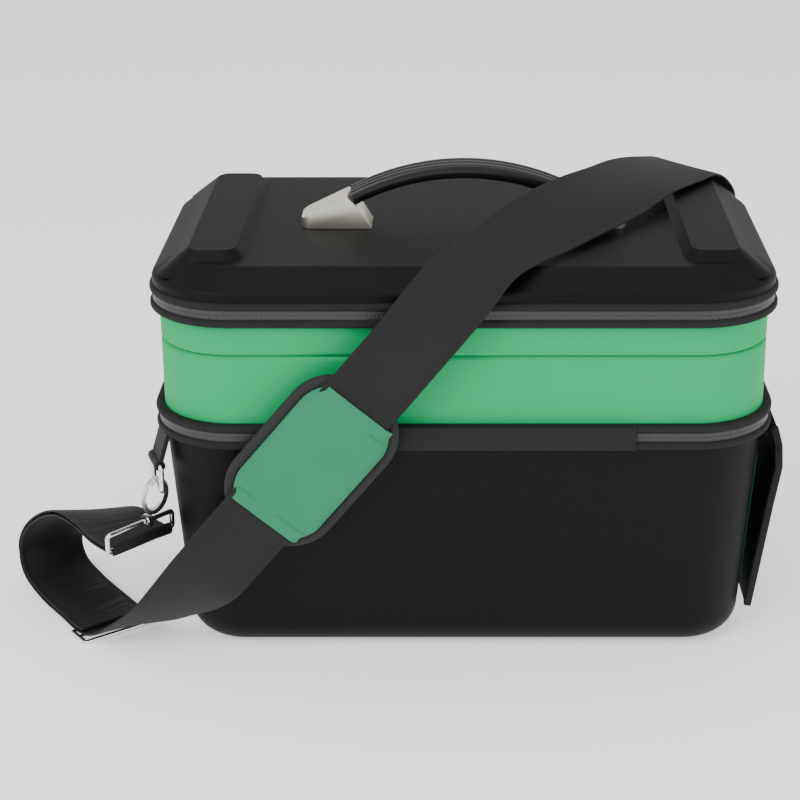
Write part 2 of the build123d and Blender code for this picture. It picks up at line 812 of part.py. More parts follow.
strap_back_y = route_front[pad_station][0][1] + strap_thickness / 2
pad_front_y = strap_back_y + fit_gap
pad_plane = Plane(
    origin=(pad_centre_x, pad_front_y + pad_thickness, pad_centre_z), x_dir=pad_fall, z_dir=(0, -1, 0)
)
with BuildPart() as shoulder_pad:
    with BuildSketch(pad_plane):
        RectangleRounded(
            pad_length - 2 * pad_binding_width,
            pad_width - 2 * pad_binding_width,
            pad_corner - pad_binding_width,
        )
    extrude(amount=pad_thickness)
save(shoulder_pad, "shoulder_pad")
with BuildPart() as pad_binding:
    with BuildSketch(pad_plane.offset((pad_thickness - pad_binding_thickness) / 2)):
        RectangleRounded(pad_length, pad_width, pad_corner)
        RectangleRounded(
            pad_length - 2 * pad_binding_width,
            pad_width - 2 * pad_binding_width,
            pad_corner - pad_binding_width,
            mode=Mode.SUBTRACT,
        )
    extrude(amount=pad_binding_thickness)
save(pad_binding, "pad_binding")
tunnel_height = strap_thickness + 2 * fit_gap
with BuildPart() as pad_sleeve:
    with BuildSketch(pad_plane.offset(pad_thickness)):
        Rectangle(sleeve_length, strap_width + 2 * fit_gap + 2 * sleeve_thickness)
    extrude(amount=tunnel_height + sleeve_thickness)
    with BuildSketch(pad_plane.offset(pad_thickness)):
        Rectangle(sleeve_length, strap_width + 2 * fit_gap)
    extrude(amount=tunnel_height, mode=Mode.SUBTRACT)
save(pad_sleeve, "pad_sleeve")

# ================================================================ side flap and its pocket


def tray_side_x(height):
    """Outer face of the lower tray's side at a height."""
    fall = (lower_tray_height - height) * math.tan(math.radians(tray_draft))
    return case_width / 2 - band_inset - fall


def flap_strip(start_y, width, thickness):
    """Stretch of the flap's profile, drawn along the side of the case."""
    with BuildPart() as strip:
        with BuildSketch(Plane.XZ.offset(-start_y - width)):
            with BuildLine():
                FilletPolyline(*flap_profile, radius=flap_bends)
            trace(line_width=thickness)
        extrude(amount=width)
    return strip.part


with BuildPart() as side_flap:
    add(flap_strip(flap_front_y + flap_binding, flap_width - 2 * flap_binding, flap_thickness))
save(side_flap, "side_flap")
with BuildPart() as side_flap_binding:
    add(flap_strip(flap_front_y, flap_binding, flap_binding))
    add(flap_strip(flap_front_y + flap_width - flap_binding, flap_binding, flap_binding))
save(side_flap_binding, "side_flap_binding")

with BuildPart() as side_pocket:
    with BuildSketch(Plane.XZ.offset(-flap_front_y - pocket_margin)):
        with BuildLine():
            Polyline(
                (tray_side_x(pocket_bottom_z) + fit_gap, pocket_bottom_z),
                (tray_side_x(pocket_bottom_z) + fit_gap + pocket_thickness, pocket_bottom_z),
                (tray_side_x(pocket_top_z) + fit_gap + pocket_thickness, pocket_top_z),
                (tray_side_x(pocket_top_z) + fit_gap, pocket_top_z),
                close=True,
            )
        make_face()
    extrude(amount=-(flap_width - 2 * pocket_margin))
save(side_pocket, "side_pocket")
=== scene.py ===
# %% [markdown]
# # A moulded instrument case with two zipped compartments
# The case is a stack: a black tray, a green middle section and a black lid, joined by two zips.
# A carrying handle sits on the lid, and a padded strap lies across the case on two snap hooks.
# Every size is in metres, with the floor at z = 0 and the front of the case towards -Y.

import json
import math

import bpy
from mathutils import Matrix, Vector, noise


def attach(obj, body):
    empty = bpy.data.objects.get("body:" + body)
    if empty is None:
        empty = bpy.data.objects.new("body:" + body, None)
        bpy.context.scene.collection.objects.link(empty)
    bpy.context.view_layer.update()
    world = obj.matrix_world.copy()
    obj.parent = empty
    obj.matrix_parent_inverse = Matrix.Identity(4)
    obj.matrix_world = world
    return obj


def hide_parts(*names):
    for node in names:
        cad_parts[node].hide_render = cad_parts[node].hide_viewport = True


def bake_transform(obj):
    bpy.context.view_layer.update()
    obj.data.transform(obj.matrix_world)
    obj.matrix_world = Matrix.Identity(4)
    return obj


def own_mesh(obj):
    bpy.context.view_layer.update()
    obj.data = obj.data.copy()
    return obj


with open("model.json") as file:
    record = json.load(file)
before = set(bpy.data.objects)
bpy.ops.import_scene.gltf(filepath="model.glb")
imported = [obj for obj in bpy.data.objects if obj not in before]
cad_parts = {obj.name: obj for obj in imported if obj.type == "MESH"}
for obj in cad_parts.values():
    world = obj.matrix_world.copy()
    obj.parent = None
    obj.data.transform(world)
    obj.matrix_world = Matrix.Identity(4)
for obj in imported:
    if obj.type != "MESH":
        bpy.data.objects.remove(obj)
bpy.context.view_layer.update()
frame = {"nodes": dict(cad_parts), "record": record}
nodes = frame["nodes"]

# %% [markdown]
# ## The camera
# The case is seen square on from the front, from a little above, so its verticals draw together
# slightly and the whole lid shows. A long lens keeps the sides from spreading. The object sits
# right of centre, which a sideways shift of the lens gives without turning the camera.

# %% Camera
camera_data = bpy.data.cameras.new("camera")
camera = bpy.data.objects.new("camera", camera_data)
bpy.context.collection.objects.link(camera)
camera.location = (0.0, -1.3048, 0.6529)
camera.rotation_euler = (math.pi / 2 - 0.3761, 0.0, 0.0)
camera_data.lens = 89.26
camera_data.sensor_width = 36.0
camera_data.shift_x = -0.08
camera_data.clip_end = 30.0
bpy.context.scene.camera = camera
print("camera distance", round(camera.location.length, 3))

# %% [markdown]
# ## Finishes
# Every finish is one Principled shader with a little procedural relief on Object coordinates.
# Cloth gets a fine crossed weave, moulded skin a soft grain, and metal almost nothing.
# One helper builds them all, so that a finish is one line.


# %% Material helper
relief_depth = 0.0004
patch_scale = 25.0


def finish(
    name,
    color,
    roughness,
    metallic=0.0,
    weave=0.0,
    grain=0.0,
    size=900.0,
    sheen=0.0,
    mottle=0.0,
    specular=0.5,
):
    """Principled material with optional woven relief, fine grain and uneven colour."""
    material = bpy.data.materials.new(name)
    material.use_nodes = True
    tree = material.node_tree
    shader = tree.nodes["Principled BSDF"]
    shader.inputs["Base Color"].default_value = (*color, 1.0)
    shader.inputs["Roughness"].default_value = roughness
    shader.inputs["Metallic"].default_value = metallic
    shader.inputs["Sheen Weight"].default_value = sheen
    shader.inputs["Specular IOR Level"].default_value = specular
    coordinates = tree.nodes.new("ShaderNodeTexCoord")
    height = None
    if weave:
        waves = []
        for direction in ("X", "Z"):
            wave = tree.nodes.new("ShaderNodeTexWave")
            wave.bands_direction = direction
            wave.inputs["Scale"].default_value = size
            tree.links.new(coordinates.outputs["Object"], wave.inputs["Vector"])
            waves.append(wave)
        cross = tree.nodes.new("ShaderNodeMath")
        cross.operation = "MULTIPLY"
        tree.links.new(waves[0].outputs["Fac"], cross.inputs[0])
        tree.links.new(waves[1].outputs["Fac"], cross.inputs[1])
        height, strength = cross.outputs[0], weave
    if grain:
        speckle = tree.nodes.new("ShaderNodeTexNoise")
        speckle.inputs["Scale"].default_value = size
        speckle.inputs["Detail"].default_value = 4.0
        tree.links.new(coordinates.outputs["Object"], speckle.inputs["Vector"])
        height, strength = speckle.outputs["Fac"], grain
    if height:
        bump = tree.nodes.new("ShaderNodeBump")
        bump.inputs["Strength"].default_value = strength
        bump.inputs["Distance"].default_value = relief_depth
        tree.links.new(height, bump.inputs["Height"])
        tree.links.new(bump.outputs["Normal"], shader.inputs["Normal"])
    if mottle:
        patches = tree.nodes.new("ShaderNodeTexNoise")
        patches.inputs["Scale"].default_value = patch_scale
        ramp = tree.nodes.new("ShaderNodeValToRGB")
        ramp.color_ramp.elements[0].color = (*[c * (1 - mottle) for c in color], 1.0)
        ramp.color_ramp.elements[1].color = (*[min(1.0, c * (1 + mottle)) for c in color], 1.0)
        tree.links.new(coordinates.outputs["Object"], patches.inputs["Vector"])
        tree.links.new(patches.outputs["Fac"], ramp.inputs["Fac"])
        tree.links.new(ramp.outputs["Color"], shader.inputs["Base Color"])
    return material


# %% The case's finishes
finishes = {
    "black_shell": finish(
        "black_shell", (0.0015, 0.0015, 0.0018), 0.55, grain=0.25, size=1400, specular=0.14
    ),
    "green_shell": finish(
        "green_shell", (0.0, 0.36, 0.115), 0.6, grain=0.2, size=1400, mottle=0.04, specular=0.15
    ),
    "binding": finish("binding", (0.014, 0.014, 0.0145), 0.75, weave=0.5, size=1200, specular=0.2),
    "zip_tape": finish("zip_tape", (0.022, 0.022, 0.022), 0.42, specular=0.5),
    "lining": finish("lining", (0.06, 0.06, 0.065), 0.95, grain=0.5, size=1800, sheen=0.4),
    "webbing": finish("webbing", (0.011, 0.011, 0.0115), 0.6, weave=0.6, size=1000, specular=0.25),
    "pad_green": finish(
        "pad_green", (0.03, 0.23, 0.12), 0.78, weave=0.5, size=1300, mottle=0.10, specular=0.2
    ),
    "pad_grey": finish("pad_grey", (0.028, 0.028, 0.028), 0.85, weave=0.5, size=1300, specular=0.2),
    "flap_green": finish("flap_green", (0.02, 0.25, 0.14), 0.8, weave=0.5, size=1300, specular=0.2),
    "grip_rubber": finish(
        "grip_rubber", (0.004, 0.004, 0.004), 0.3, grain=0.08, size=1200, specular=0.4
    ),
    "cap_metal": finish("cap_metal", (0.82, 0.79, 0.67), 0.36, metallic=1.0, grain=0.08, size=2500),
    "nickel": finish("nickel", (0.75, 0.74, 0.71), 0.16, metallic=1.0),
    "dark_metal": finish("dark_metal", (0.03, 0.03, 0.03), 0.35, metallic=0.6),
    "steel": finish("steel", (0.5, 0.5, 0.5), 0.35, metallic=1.0),
}
finishes["thread_green"] = finish("thread_green", (0.05, 0.17, 0.11), 0.7)
finishes["thread_dark"] = finish("thread_dark", (0.02, 0.02, 0.02), 0.7)
print("finishes:", len(finishes))

# %% [markdown]
# ## Dressing the CAD pieces
# The hard pieces already have their true shape. They only need their finish, and smooth shading
# that stays crisp at real corners, so the mesh is split at edges sharper than a set angle.


# %% Dress every node
def shade(obj, degrees=32):
    """Smooth shading with crisp edges above an angle."""
    for polygon in obj.data.polygons:
        polygon.use_smooth = True
    smoother = obj.modifiers.new("crisp edges", "EDGE_SPLIT")
    smoother.split_angle = math.radians(degrees)


for subpart in frame["record"]["subparts"]:
    node = nodes[subpart["node"]]
    node.data.materials.clear()
    node.data.materials.append(finishes[subpart["material_slot"]])
    shade(node)


# %% [markdown]
# ## Shared mesh helpers
# Much of a soft case is one section carried along one path: piping, webbing, a handle, a flap.
# `loft_mesh` joins rows of points into a skin. `new_object` turns plain lists into an object.


# %% Mesh helpers
def new_object(name, vertices, faces, slot):
    """Mesh object with smooth faces and one finish."""
    mesh = bpy.data.meshes.new(name)
    mesh.from_pydata([tuple(v) for v in vertices], [], faces)
    mesh.materials.append(finishes[slot])
    for polygon in mesh.polygons:
        polygon.use_smooth = True
    obj = bpy.data.objects.new(name, mesh)
    bpy.context.collection.objects.link(obj)
    return obj


def loft_mesh(name, rows, slot, closed_path=False):
    """Skin through rows of points; each row is a closed section. Open paths get end caps."""
    count = len(rows[0])
    vertices = [point for row in rows for point in row]
    faces = []
    last = len(rows) if closed_path else len(rows) - 1
    for i in range(last):
        a, b = i * count, (i + 1) % len(rows) * count
        for j in range(count):
            k = (j + 1) % count
            faces.append((a + j, a + k, b + k, b + j))
    if not closed_path:
        faces.append(tuple(range(count))[::-1])
        end = (len(rows) - 1) * count
        faces.append(tuple(end + j for j in range(count)))
    obj = new_object(name, vertices, faces, slot)
    shade(obj, 50)
    return obj


def rounded_section(width, height, radius, steps=4):
    """Closed rounded rectangle as (across, up) pairs about its middle."""
    points = []
    for sx, sy, turn in ((1, 1, 0), (-1, 1, 90), (-1, -1, 180), (1, -1, 270)):
        for i in range(steps + 1):
            angle = math.radians(turn + 90 * i / steps)
            points.append(
                (
                    sx * (width / 2 - radius) + radius * math.cos(angle),
                    sy * (height / 2 - radius) + radius * math.sin(angle),
                )
            )
    return points


case_half_width, case_half_depth, corner_radius = 0.205, 0.128, 0.056
shortest_straight = 0.03


def plan_path(inset, z, corner_steps=14, straight_steps=16):
    """Points and outward directions round the case's rounded plan."""
    half_x, half_y, radius = case_half_width - inset, case_half_depth - inset, corner_radius - inset
    path = []
    for sx, sy, turn in ((1, -1, 270), (1, 1, 0), (-1, 1, 90), (-1, -1, 180)):
        centre = Vector((sx * (half_x - radius), sy * (half_y - radius), z))
        for i in range(corner_steps + 1):
            angle = math.radians(turn + 90 * i / corner_steps)
            out = Vector((math.cos(angle), math.sin(angle), 0.0))
            path.append((centre + out * radius, out))
    filled = []
    for (point, out), (after, _) in zip(path, path[1:] + path[:1]):
        filled.append((point, out))
        if (after - point).length > shortest_straight:
            for i in range(1, straight_steps):
                filled.append((point.lerp(after, i / straight_steps), out))
    return filled


# %% [markdown]
# ## The strap
# The shoulder strap is 50 mm webbing. It rises from the right hook at the back, crosses the lid,
# leans on the end of the handle, falls down the front through the shoulder pad, and stands in a
# loop on its edge beside the case, before it comes back to the left hook.
# Webbing bends along its length but never stretches or curls across, so a ribbon carried along a
# smooth line, with its own direction across at every point, describes it better than a simulation.

# %% The strap's stations
right_end = [
    ((198.9, 106.7, 76.9), (-0.766, 0.643, 0.0)),
    ((202.9, 112.4, 84.0), (-0.766, 0.643, 0.0)),
    ((202.2, 113.6, 105.0), (-0.766, 0.643, 0.0)),
    ((194.0, 117.0, 150.0), (-0.766, 0.643, 0.0)),
    ((185.1, 121.3, 200.0), (-0.766, 0.643, 0.0)),
]
over_lid = [
    ((185.1, 121.3, 200.0), (-0.766, 0.643, 0.0)),
    ((181.5, 123.1, 243.0), (-0.78, 0.62, 0.0)),
    ((177.6, 118.5, 264.0), (-0.80, 0.59, 0.05)),
    ((163.0, 96.0, 281.5), (-0.84, 0.52, 0.10)),
    ((147.5, 72.0, 286.5), (-0.78, 0.52, 0.20)),
    ((123.5, 34.5, 291.0), (-0.78, 0.50, 0.36)),
    ((101.0, -5.5, 291.5), (-0.74, 0.41, 0.53)),
    ((76.5, -41.0, 291.5), (-0.66, 0.44, 0.61)),
    ((52.0, -73.0, 289.0), (-0.64, 0.46, 0.56)),
    ((29.0, -98.0, 283.0), (-0.68, 0.56, 0.34)),
    ((10.0, -119.0, 275.5), (-0.80, 0.48, 0.26)),
]
front_edge = [
    ((10.0, -119.0, 275.5), (-0.80, 0.48, 0.26)),
    ((-7.0, -134.0, 261.0), (-0.84, 0.20, 0.48)),
    ((-33.0, -139.6, 230.0), (-0.765, 0.0, 0.644)),
    ((-60.0, -140.4, 197.5), (-0.765, 0.0, 0.644)),
]
front_run = [
    ((-60.0, -140.4, 197.5), (-0.765, 0.0, 0.644)),
    ((-140.0, -140.4, 102.5), (-0.765, 0.0, 0.644)),
    ((-166.0, -139.0, 71.0), (-0.77, -0.05, 0.64)),
    ((-183.5, -130.0, 50.0), (-0.79, -0.31, 0.54)),
    ((-201.5, -117.0, 31.0), (-0.76, -0.55, 0.35)),
    ((-224.5, -99.0, 12.0), (-0.80, -0.58, 0.15)),
    ((-242.0, -83.0, 4.0), (-0.80, -0.60, 0.0)),
    ((-263.0, -53.0, 2.2), (-0.80, -0.60, 0.0)),
    ((-282.0, -27.0, 3.4), (-0.79, -0.60, 0.0)),
    ((-297.5, -5.0, 9.5), (-0.78, -0.60, 0.05)),
    ((-302.0, 3.5, 25.0), (-0.76, -0.62, 0.10)),
    ((-293.0, -8.0, 44.0), (-0.85, -0.48, 0.17)),
    ((-277.0, -25.0, 60.0), (-0.92, -0.35, 0.17)),
    ((-260.0, -44.0, 72.0), (-0.93, -0.35, 0.10)),
    ((-243.5, -65.0, 77.0), (-0.90, -0.43, 0.0)),
    ((-232.0, -83.0, 76.8), (-0.74, -0.67, 0.0)),
    ((-216.9, -100.0, 76.9), (-0.66, -0.75, 0.0)),
]
runs = [right_end, over_lid, front_edge, front_run]
strap_width, strap_thickness = 0.050, 0.0018
print("strap stations:", sum(len(run) for run in runs))


# %% Smooth the route
def smooth_route(stations, before, after, steps=8):
    """Catmull-Rom curve through stations given in millimetres, with its direction across."""
    whole = [before or stations[0], *stations, after or stations[-1]]
    middles = [Vector(middle) / 1000 for middle, _ in whole]
    acrosses = [Vector(across).normalized() for _, across in whole]
    line = []

    def between(values, i, t):
        a, b, c, d = values[i - 1 : i + 3]
        return (
            b * 2 + (c - a) * t + (a * 2 - b * 5 + c * 4 - d) * t * t + (b * 3 - a - c * 3 + d) * t**3
        ) / 2

    for i in range(1, len(stations)):
        for step in range(steps):
            t = step / steps
            line.append((between(middles, i, t), between(acrosses, i, t).normalized()))
    line.append((middles[-2], acrosses[-2]))
    return line


def route_length(line):
    return sum((b[0] - a[0]).length for a, b in zip(line, line[1:]))


lines = []
for index, run in enumerate(runs):
    before = runs[index - 1][-2] if index else None
    after = runs[index + 1][1] if index + 1 < len(runs) else None
    lines.append(smooth_route(run, before, after))
print("lengths:", [round(route_length(line), 3) for line in lines])


# %% [markdown]
# The webbing's section is flat with slightly rounded edges, and two shallow grooves run inside
# its edges, where the weave of real webbing turns back. The normal comes from the line's own
# heading and the direction across, so that the ribbon leans and twists as the stations say.


# %% Ribbon
groove_start, groove_middle, groove_end = 0.003, 0.0038, 0.0046
groove_floor = 0.72


def ribbon(name, line, slot="webbing", width=strap_width, thickness=strap_thickness):
    """Flat woven strap along a line of (middle, across) pairs."""
    rows = []
    middles = [middle for middle, _ in line]
    half, edge = width / 2, thickness / 2
    top = [(-half, 0.0), (-half + edge * 0.5, edge * 0.8), (-half + groove_start, edge)]
    top += [(-half + groove_middle, edge * groove_floor), (-half + groove_end, edge), (0.0, edge)]
    top += [(-u, v) for u, v in top[-2::-1]]
    section = top + [(u, -v) for u, v in top[-2:0:-1]]
    for i, (middle, across) in enumerate(line):
        heading = (middles[min(i + 1, len(line) - 1)] - middles[max(i - 1, 0)]).normalized()
        side = (across - heading * across.dot(heading)).normalized()
        up = heading.cross(side)
        rows.append([middle + side * u + up * v for u, v in section])
    return loft_mesh(name, rows, slot)


names = ["strap_right_rise", "strap_over_lid", "strap_front_edge", "strap_front_run"]
strap = {name: ribbon(name, line) for name, line in zip(names, lines)}
print({name: len(obj.data.vertices) for name, obj in strap.items()})

# %% [markdown]
# At each hook the webbing goes round the ring's lower bar and is sewn to itself. On the left it
# doubles back as a second ply that runs inside the loop to the adjuster on the floor, which is
# how the strap's length is set.


# %% Folds and second ply
fold_radius, fold_steps = 0.0031, 12


def fold_round(name, bar, axis, leave):
    """Half turn of webbing round a bar; leave is the direction in which both plies go."""
    axis, leave = Vector(axis).normalized(), Vector(leave).normalized()
    leave = (leave - axis * leave.dot(axis)).normalized()
    up = axis.cross(leave)
    rows = []
    for i in range(fold_steps + 1):
        angle = math.radians(90 + 180 * i / fold_steps)
        out = leave * math.cos(angle) + up * math.sin(angle)
        rows.append((bar + out * fold_radius, axis))
    return ribbon(name, rows)


left_bar = Vector((-0.2169, -0.1000, 0.0769))
right_bar = Vector((0.1989, 0.1067, 0.0769))
left_fold = fold_round("strap_fold_left", left_bar, (-0.66, -0.75, 0.0), (-0.66, 0.75, 0.0))
right_fold = fold_round("strap_fold_right", right_bar, (-0.766, 0.643, 0.0), (0.5, 0.6, 0.6))

steps_past_adjuster = 48
loop_middle = Vector((-0.255, -0.04, 0.04))
ply_gap = 0.0030
back = lines[3][::-1]
second = []
for i, (middle, across) in enumerate(back[: len(back) - steps_past_adjuster]):
    heading = (back[i + 1][0] - middle).normalized()
    inward = across.cross(heading).normalized()
    if inward.dot(loop_middle - middle) < 0:
        inward = -inward
    second.append((middle + inward * ply_gap, across))
second_ply = ribbon("strap_second_ply", second)
print("second ply", round(route_length(second), 3))

# %% Strap rides
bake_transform(strap["strap_right_rise"])
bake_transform(strap["strap_over_lid"])
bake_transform(strap["strap_front_edge"])
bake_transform(strap["strap_front_run"])
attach(left_fold, "swivel_left")
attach(right_fold, "swivel_right")
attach(second_ply, "base")
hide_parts("strap_webbing_right")
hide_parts("strap_webbing_lid")
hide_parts("strap_webbing_front")

# %% [markdown]
# ## Bindings
# Each edge of a zip is finished with a folded tape, sewn over the raw edge of the shell. It reads
# as a soft round rope that runs all the way round, so one rounded section is carried round the
# case's plan. The four rings only differ in height and in the body that they ride on.


# %% Binding rings
def plan_ring(name, inset, z, width, height, radius, slot):
    """Ring of one rounded section round the case."""
    rows = []
    for point, out in plan_path(inset, z):
        section = rounded_section(width, height, radius)
        rows.append([point + out * u + Vector((0, 0, v)) for u, v in section])
    return loft_mesh(name, rows, slot, closed_path=True)


binding_depth, binding_height, binding_round = 0.009, 0.0053, 0.0021
band_bottoms = {"lower": 0.153, "upper": 0.2360}
band_height = 0.0165
halves = {
    ("lower", "bottom"): "base",
    ("lower", "top"): "middle",
    ("upper", "bottom"): "middle",
    ("upper", "top"): "lid",
}
for (zip_name, half), body in halves.items():
    bottom = band_bottoms[zip_name]
    z = bottom + binding_height / 2 if half == "bottom" else bottom + band_height - binding_height / 2
    piece = plan_ring(
        f"{zip_name}_{half}_binding",
        binding_depth / 2,
        z,
        binding_depth,
        binding_height,
        binding_round,
        "binding",
    )
    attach(piece, body)
    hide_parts(f"{zip_name}_binding_{half}")
    print(piece.name, "rides", body)

# %% [markdown]
# ## Repeats along a line
# Zip coils and stitches are the same small part many times over along a line. Geometry Nodes fit
# this well: one tree resamples a line at a spacing, sets a small cylinder on every point, turns it
# to the line, and makes the copies real. Its inputs are the spacing, the radius and the length.


# %% Tree for repeats
def repeat_tree():
    """Geometry node tree that sets small cylinders along a curve."""
    tree = bpy.data.node_groups.new("repeat along a line", "GeometryNodeTree")
    face = tree.interface
    face.new_socket("Geometry", in_out="INPUT", socket_type="NodeSocketGeometry")
    for label, value in (("Spacing", 0.0024), ("Radius", 0.0006), ("Length", 0.0026)):
        socket = face.new_socket(label, in_out="INPUT", socket_type="NodeSocketFloat")
        socket.default_value = value
    face.new_socket("Upright", in_out="INPUT", socket_type="NodeSocketBool")
    face.new_socket("Material", in_out="INPUT", socket_type="NodeSocketMaterial")
    face.new_socket("Geometry", in_out="OUTPUT", socket_type="NodeSocketGeometry")
    add, link = tree.nodes.new, tree.links.new
    inside, outside = add("NodeGroupInput"), add("NodeGroupOutput")
    resample = add("GeometryNodeResampleCurve")
    if "Mode" in resample.inputs:
        resample.inputs["Mode"].default_value = "Length"
    else:
        resample.mode = "LENGTH"
    link(inside.outputs["Geometry"], resample.inputs["Curve"])
    link(inside.outputs["Spacing"], resample.inputs["Length"])
    cylinder = add("GeometryNodeMeshCylinder")
    cylinder.inputs["Vertices"].default_value = 8
    link(inside.outputs["Radius"], cylinder.inputs["Radius"])
    link(inside.outputs["Length"], cylinder.inputs["Depth"])
    tangent = add("GeometryNodeInputTangent")
    align = add("FunctionNodeAlignRotationToVector")
    align.axis = "Z"
    link(tangent.outputs["Tangent"], align.inputs["Vector"])
    switch = add("GeometryNodeSwitch")
    switch.input_type = "ROTATION"
    link(inside.outputs["Upright"], switch.inputs["Switch"])
    link(align.outputs["Rotation"], switch.inputs["False"])
    instance = add("GeometryNodeInstanceOnPoints")
    link(resample.outputs["Curve"], instance.inputs["Points"])
    link(cylinder.outputs["Mesh"], instance.inputs["Instance"])
    link(switch.outputs["Output"], instance.inputs["Rotation"])
    realize, paint = add("GeometryNodeRealizeInstances"), add("GeometryNodeSetMaterial")
    link(instance.outputs["Instances"], realize.inputs["Geometry"])
    link(realize.outputs["Geometry"], paint.inputs["Geometry"])
    link(inside.outputs["Material"], paint.inputs["Material"])
    link(paint.outputs["Geometry"], outside.inputs["Geometry"])
    return tree


tree = repeat_tree()
print("tree inputs:", [item.name for item in tree.interface.items_tree if item.in_out == "INPUT"])


# %% Run the tree
def repeats(name, points, slot, closed=False, **values):
    """Plain mesh of small cylinders along a line of points."""
    curve = bpy.data.curves.new(name, "CURVE")
    curve.dimensions = "3D"
    spline = curve.splines.new("POLY")
    spline.points.add(len(points) - 1)
    for target, point in zip(spline.points, points):
        target.co = (*point, 1.0)
    spline.use_cyclic_u = closed
    source = bpy.data.objects.new(name, curve)
    bpy.context.collection.objects.link(source)
    modifier = source.modifiers.new("repeats", "NODES")
    modifier.node_group = tree
    values = {"Material": finishes[slot], **values}
    for item in tree.interface.items_tree:
        if item.in_out == "INPUT" and item.name in values:
            modifier[item.identifier] = values[item.name]
    bpy.context.view_layer.update()
    evaluated = source.evaluated_get(bpy.context.evaluated_depsgraph_get())
    mesh = bpy.data.meshes.new_from_object(evaluated)
    bpy.data.objects.remove(source)
    obj = bpy.data.objects.new(name, mesh)
    bpy.context.collection.objects.link(obj)
    for polygon in mesh.polygons:
        polygon.use_smooth = True
    return obj


# %% [markdown]
# ## Zip coils
# A coil zip shows two rows of fine ribs that mesh at the middle. Each row belongs to one half of
# the zip and leaves with it, so the rows are set half a pitch apart and never cross each other.

# %% Coils
coil_pitch, coil_offset, coil_inset = 0.0024, 0.00125, 0.0026
for (zip_name, half), body in halves.items():
    middle = band_bottoms[zip_name] + band_height / 2
    z = middle - coil_offset if half == "bottom" else middle + coil_offset
    line = [point for point, _ in plan_path(coil_inset, z)]
    shift = coil_pitch / 2 if half == "top" else 0.0
    line[0] = line[0] + (line[1] - line[0]).normalized() * shift
    coil = repeats(
        f"{zip_name}_{half}_coil",
        line,
        "zip_tape",
        closed=True,
        Spacing=coil_pitch,
        Radius=0.0007,
        Length=0.0029,
        Upright=True,
    )
    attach(coil, body)
    print(coil.name, len(coil.data.polygons), "faces")

# %% [markdown]
# ## Fabric hinges
# The lower compartment folds open at the front and the lid at the back. There the zip stops, and
# a strip of cloth is sewn over it. One strip spans the two bodies, so it covers the gap.


# %% Hinge strips
strip_face, strip_margin, strip_swell, strip_rows = 0.1283, 0.0003, 0.0007, 12
strip_thickness, strip_round = 0.0013, 0.0006


def hinge_strip(name, width, side, z, leaves):
    """Cloth strip over a zip band where the two bodies part."""
    rows = []
    for i in range(strip_rows + 1):
        height = z + strip_margin + (band_height - 2 * strip_margin) * i / strip_rows
        swell = strip_swell * math.sin(math.pi * i / strip_rows)
        y = side * (strip_face + swell)
        section = rounded_section(width, strip_thickness, strip_round, steps=2)
        rows.append([Vector((u, y + v, height)) for u, v in section])
    strip = loft_mesh(name, rows, "binding")
    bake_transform(strip)
    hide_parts(*leaves)
    return strip


hinge_strip(
    "front_hinge_strip",
    0.222,
    -1,
    band_bottoms["lower"],
    ("front_hinge_leaf_lower", "front_hinge_leaf_upper"),
)
hinge_strip(
    "rear_hinge_strip",
    0.250,
    1,
    band_bottoms["upper"],
    ("rear_hinge_leaf_lower", "rear_hinge_leaf_upper"),
)
seam_x, seam_y, seam_height = 0.1085, -0.1293, 0.006
for side in (-1, 1):
    for half, body, z0 in (("low", "base", 0.1538), ("high", "middle", 0.1627)):
        seam = [Vector((side * seam_x, seam_y, z0 + seam_height * i / 4)) for i in range(5)]
        stitches = repeats(
            f"front_strip_stitches_{side}_{half}",
            seam,
            "pad_grey",
            Spacing=0.0022,
            Radius=0.00025,
            Length=0.0016,
        )
        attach(stitches, body)
print("hinge strips done")

# %% [markdown]
# ## Handle grip
# The grip is soft rubber drawn over a steel core. Three rolls run along it, which catch three
# long highlights. One section with three lobes, carried along the bow, gives exactly that.

# %% Grip
bow_radius, bow_centre_z, handle_y = 0.15725, 0.15225, -0.012
grip_half_width, roll_pitch, roll_radius = 0.0108, 0.0072, 0.0037
grip_core, roll_rise, bow_half_span = 0.0026, 0.0024, 0.074
lobes = []
for i in range(25):
    u = -grip_half_width + 0.0216 * i / 24
    away = (u + grip_half_width) % roll_pitch - 0.0036
    lobes.append((u, grip_core + roll_rise * math.sqrt(max(0.0, 1 - (away / roll_radius) ** 2))))
grip_section = lobes + [(u, -v) for u, v in lobes[::-1]]
rows = []
for i in range(41):
    angle = math.asin(bow_half_span / bow_radius) * (i / 20 - 1)
    out = Vector((math.sin(angle), 0.0, math.cos(angle)))
    middle = Vector((0.0, handle_y, bow_centre_z)) + out * bow_radius
    rows.append([middle + Vector((0, 1, 0)) * u + out * v for u, v in grip_section])
grip = loft_mesh("rubber_grip", rows, "grip_rubber")
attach(grip, "lid")
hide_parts("handle_grip")
print("grip points", len(grip.data.vertices))

# %% [markdown]
# The caps are cast, with soft corners. Their mesh is welded and bevelled, because a cast edge is
# never sharp, and the small round catches the light.


# %% Soften cast pieces
def soften(node, width, angle=30, segments=3):
    """Weld and bevel a CAD piece's edges for show."""
    node.modifiers.clear()
    weld = node.modifiers.new("weld", "WELD")
    weld.merge_threshold = 0.00002
    bevel = node.modifiers.new("soft edges", "BEVEL")
    bevel.width, bevel.segments = width, segments
    bevel.limit_method, bevel.angle_limit = "ANGLE", math.radians(angle)
    bevel.use_clamp_overlap = True
    smoother = node.modifiers.new("smooth", "EDGE_SPLIT")
    smoother.split_angle = math.radians(50)


for name in ("handle_cap_left", "handle_cap_right"):
    soften(nodes[name], 0.0016)
for name in ("side_flap", "side_flap_binding", "strap_adjuster"):
    soften(nodes[name], 0.0008)

